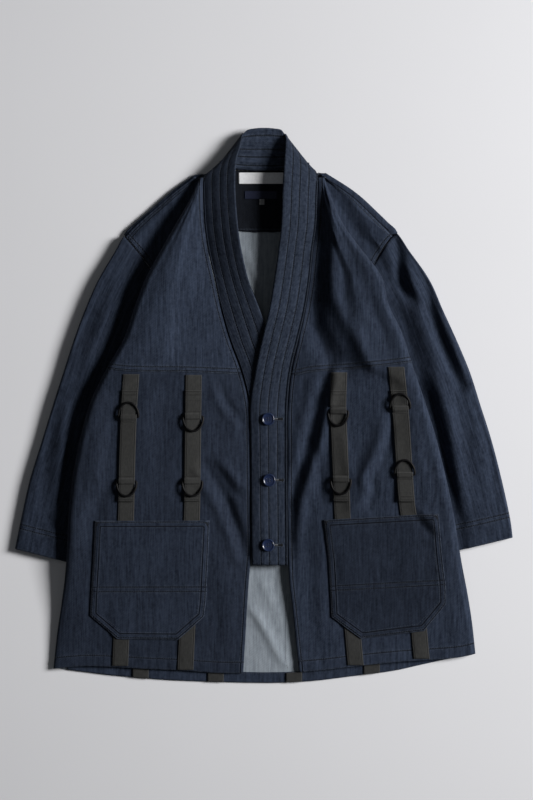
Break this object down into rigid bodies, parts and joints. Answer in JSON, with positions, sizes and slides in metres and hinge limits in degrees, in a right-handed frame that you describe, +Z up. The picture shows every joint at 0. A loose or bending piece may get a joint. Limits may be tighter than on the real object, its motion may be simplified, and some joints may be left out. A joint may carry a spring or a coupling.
{
  "type": "haori coat",
  "caption": "Denim haori-style coat laid flat on its back, with set-in sleeves, a doubled collar band, patch pockets, buttons and webbing straps with hinged D-rings",
  "frame": {"origin": "centre of the footprint, on the surface that the coat lies on", "axes": "+Y runs from hem to collar, +Z is up out of the surface, -X is the wearer's right side"},
  "size_m": [0.7492, 0.8348, 0.0431],
  "materials": {
    "denim": "matte twill",
    "webbing": "matte woven",
    "black_metal": "semi-gloss",
    "navy_plastic": "gloss",
    "label_white": "satin woven",
    "label_navy": "woven",
    "label_grey": "woven"
  },
  "bodies": {
    "garment": {"back": "denim", "back_facing": "denim", "label_main": "label_white", "label_small": "label_navy", "size_tab": "label_grey", "back_hem": "denim", "back_strap_1": "webbing", "back_strap_2": "webbing", "back_strap_3": "webbing", "back_strap_4": "webbing", "front_right_yoke": "denim", "front_right_panel": "denim", "front_left_yoke": "denim", "front_left_panel": "denim", "sleeve_right": "denim", "sleeve_left": "denim", "collar_back": "denim", "collar_right": "denim", "collar_left": "denim", "strap_1": "webbing", "strap_loop_1": "webbing", "strap_2": "webbing", "strap_loop_2": "webbing", "strap_3": "webbing", "strap_loop_3": "webbing", "strap_4": "webbing", "strap_loop_4": "webbing", "pocket_right": "denim", "pocket_left": "denim", "button_1": "navy_plastic", "button_2": "navy_plastic", "button_3": "navy_plastic"},
    "d_ring_1": {"d_ring_1": "black_metal"},
    "d_ring_2": {"d_ring_2": "black_metal"},
    "d_ring_3": {"d_ring_3": "black_metal"},
    "d_ring_4": {"d_ring_4": "black_metal"},
    "d_ring_5": {"d_ring_5": "black_metal"},
    "d_ring_6": {"d_ring_6": "black_metal"},
    "d_ring_7": {"d_ring_7": "black_metal"},
    "d_ring_8": {"d_ring_8": "black_metal"}
  },
  "joints": [
    {"name": "d_ring_1_hinge", "type": "hinge", "parent": "garment", "child": "d_ring_1", "pos_m": [-0.20187, -0.017, 0.03494], "axis": [0.9994, 0, -0.0336], "range_deg": [0, 160]},
    {"name": "d_ring_2_hinge", "type": "hinge", "parent": "garment", "child": "d_ring_2", "pos_m": [-0.20497, -0.113, 0.03193], "axis": [-0.9995, 0, 0.0324], "range_deg": [0, 160]},
    {"name": "d_ring_3_hinge", "type": "hinge", "parent": "garment", "child": "d_ring_3", "pos_m": [-0.10571, -0.016, 0.02865], "axis": [-0.9954, 0, 0.0958], "range_deg": [0, 160]},
    {"name": "d_ring_4_hinge", "type": "hinge", "parent": "garment", "child": "d_ring_4", "pos_m": [-0.1069, -0.113, 0.02617], "axis": [-0.9914, 0, 0.1309], "range_deg": [0, 160]},
    {"name": "d_ring_5_hinge", "type": "hinge", "parent": "garment", "child": "d_ring_5", "pos_m": [0.11112, -0.008, 0.03249], "axis": [-0.9886, 0, -0.1508], "range_deg": [0, 160]},
    {"name": "d_ring_6_hinge", "type": "hinge", "parent": "garment", "child": "d_ring_6", "pos_m": [0.11522, -0.11, 0.02987], "axis": [-0.9922, 0, -0.1245], "range_deg": [0, 160]},
    {"name": "d_ring_7_hinge", "type": "hinge", "parent": "garment", "child": "d_ring_7", "pos_m": [0.20343, -0.004, 0.0379], "axis": [1, 0, -0.0011], "range_deg": [0, 160]},
    {"name": "d_ring_8_hinge", "type": "hinge", "parent": "garment", "child": "d_ring_8", "pos_m": [0.21029, -0.103, 0.03486], "axis": [0.9997, 0, 0.0228], "range_deg": [0, 160]}
  ]
}
